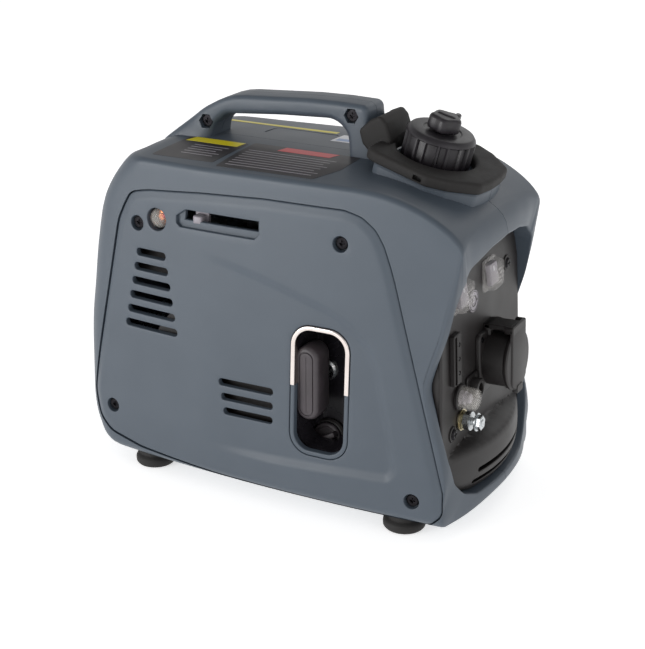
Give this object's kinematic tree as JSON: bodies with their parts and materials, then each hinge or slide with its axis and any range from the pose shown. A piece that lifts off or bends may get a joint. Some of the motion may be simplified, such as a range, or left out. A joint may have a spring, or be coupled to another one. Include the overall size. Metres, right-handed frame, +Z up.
{
  "type": "portable generator",
  "caption": "Suitcase inverter generator: moulded two-half housing with carry handle, recoil starter, fuel cap, sockets and control panel.",
  "frame": {"origin": "bottom centre of the bounding box, on the surface that the feet stand on", "axes": "+X towards the control end, +Z up, the starter side faces -Y"},
  "size_m": [0.3569, 0.196, 0.3167],
  "materials": {
    "body_plastic": "satin",
    "black_plastic": "satin",
    "soft_rubber": "matte",
    "cap_plastic": "satin",
    "bright_trim": "polished",
    "zinc_steel": "satin",
    "black_steel": "satin",
    "cast_aluminium": "matte",
    "copper_wire": "satin",
    "clear_silicone": "satin",
    "tank_plastic": "satin",
    "rope_fibre": "woven"
  },
  "bodies": {
    "generator": {"housing_left": "body_plastic", "housing_right": "body_plastic", "side_cover": "body_plastic", "starter_recess": "black_plastic", "recoil_cover": "black_plastic", "end_cover": "black_plastic", "indicator_strip": "black_plastic", "socket_body": "black_plastic", "dc_socket": "black_plastic", "air_filter_box": "black_plastic", "ignition_coil": "black_plastic", "fuel_tray": "soft_rubber", "plug_cap": "soft_rubber", "foot_1": "soft_rubber", "foot_2": "soft_rubber", "foot_3": "soft_rubber", "foot_4": "soft_rubber", "window_trim": "bright_trim", "earth_bolt": "zinc_steel", "earth_nut": "zinc_steel", "spark_plug": "zinc_steel", "muffler": "zinc_steel", "cover_screw_1": "black_steel", "cover_screw_2": "black_steel", "cover_screw_3": "black_steel", "cover_screw_4": "black_steel", "handle_screw_1": "black_steel", "handle_screw_2": "black_steel", "panel_screw_1": "black_steel", "panel_screw_2": "black_steel", "panel_screw_3": "black_steel", "exhaust_grille": "black_steel", "base_tray": "black_steel", "crankcase": "cast_aluminium", "cylinder": "cast_aluminium", "cylinder_head": "cast_aluminium", "carburettor": "cast_aluminium", "inverter_module": "cast_aluminium", "stator": "copper_wire", "engine_switch_boot": "clear_silicone", "eco_switch_boot": "clear_silicone", "dc_breaker_boot": "clear_silicone", "fuel_tank": "tank_plastic"},
    "starter_grip_body": {"starter_grip": "soft_rubber", "starter_rope": "rope_fibre"},
    "starter_pulley_body": {"starter_pulley": "black_plastic"},
    "crank": {"flywheel_rotor": "zinc_steel"},
    "cap_lift_body": {"cap_gasket": "soft_rubber"},
    "cap_turn_body": {"fuel_cap": "cap_plastic"},
    "vent_knob_body": {"vent_knob": "cap_plastic"},
    "oil_seal_body": {"oil_cap_seal": "soft_rubber"},
    "oil_cap_body": {"oil_cap": "black_plastic"},
    "engine_switch_body": {"engine_switch": "black_plastic"},
    "eco_switch_body": {"eco_switch": "black_plastic"},
    "socket_lid_body": {"socket_lid": "black_plastic", "socket_hinge_pin": "zinc_steel"},
    "choke_lever_body": {"choke_lever": "black_plastic"},
    "breaker_body": {"dc_breaker": "black_plastic"},
    "primer_body": {"primer_bulb": "clear_silicone"},
    "plug_lid_body": {"plug_access_lid": "body_plastic"}
  },
  "joints": [
    {"name": "starter_pull", "type": "slide", "parent": "generator", "child": "starter_grip_body", "axis": [0, -1, 0], "range_m": [0, 0.45], "deforming": ["starter_rope"]},
    {"name": "pulley_spin", "type": "hinge", "parent": "generator", "child": "starter_pulley_body", "pos_m": [-0.045, -0.071, 0.098], "axis": [0, 1, 0], "range_deg": [0, 930]},
    {"name": "crank_spin", "type": "hinge", "parent": "generator", "child": "crank", "pos_m": [-0.045, 0, 0.098], "axis": [0, 1, 0], "continuous": true},
    {"name": "cap_lift", "type": "slide", "parent": "generator", "child": "cap_lift_body", "axis": [0.2419, 0, 0.9703], "range_m": [0, 0.05]},
    {"name": "cap_turn", "type": "hinge", "parent": "cap_lift_body", "child": "cap_turn_body", "pos_m": [0.0991, 0, 0.263], "axis": [0.2419, 0, 0.9703], "continuous": true},
    {"name": "vent_turn", "type": "hinge", "parent": "cap_turn_body", "child": "vent_knob_body", "pos_m": [0.0991, 0, 0.263], "axis": [0.2419, 0, 0.9703], "range_deg": [0, 90]},
    {"name": "oil_cap_lift", "type": "slide", "parent": "generator", "child": "oil_seal_body", "axis": [0, -0.9781, 0.2079], "range_m": [0, 0.03]},
    {"name": "oil_cap_turn", "type": "hinge", "parent": "oil_seal_body", "child": "oil_cap_body", "pos_m": [0.042, -0.061, 0.054], "axis": [0, -0.9781, 0.2079], "continuous": true},
    {"name": "engine_switch_rock", "type": "hinge", "parent": "generator", "child": "engine_switch_body", "pos_m": [0.14534, -0.047, 0.19], "axis": [0, 1, 0], "range_deg": [0, 14]},
    {"name": "eco_switch_rock", "type": "hinge", "parent": "generator", "child": "eco_switch_body", "pos_m": [0.14539, 0.012, 0.189], "axis": [0, 1, 0], "range_deg": [0, 14]},
    {"name": "socket_lid_open", "type": "hinge", "parent": "generator", "child": "socket_lid_body", "pos_m": [0.16835, 0.011, 0.15001], "axis": [0, -1, 0], "range_deg": [0, 105], "stiffness_Nm_per_rad": 0.02, "springref_deg": -34.38},
    {"name": "choke_slide", "type": "slide", "parent": "generator", "child": "choke_lever_body", "axis": [1, 0, 0], "range_m": [0, 0.045]},
    {"name": "breaker_press", "type": "slide", "parent": "generator", "child": "breaker_body", "axis": [-0.9988, 0, -0.0496], "range_m": [0, 0.0012], "stiffness_N_per_m": 400, "springref_m": -0.002},
    {"name": "primer_press", "type": "slide", "parent": "generator", "child": "primer_body", "axis": [0, 1, 0], "range_m": [0, 0.005], "stiffness_N_per_m": 300, "springref_m": -0.002},
    {"name": "plug_lid_lift", "type": "slide", "parent": "generator", "child": "plug_lid_body", "axis": [0, 0, 1], "range_m": [0, 0.04]}
  ],
  "couplings": [
    {"joint": "pulley_spin", "follows": "starter_pull", "rad_per_m": 35.714}
  ]
}
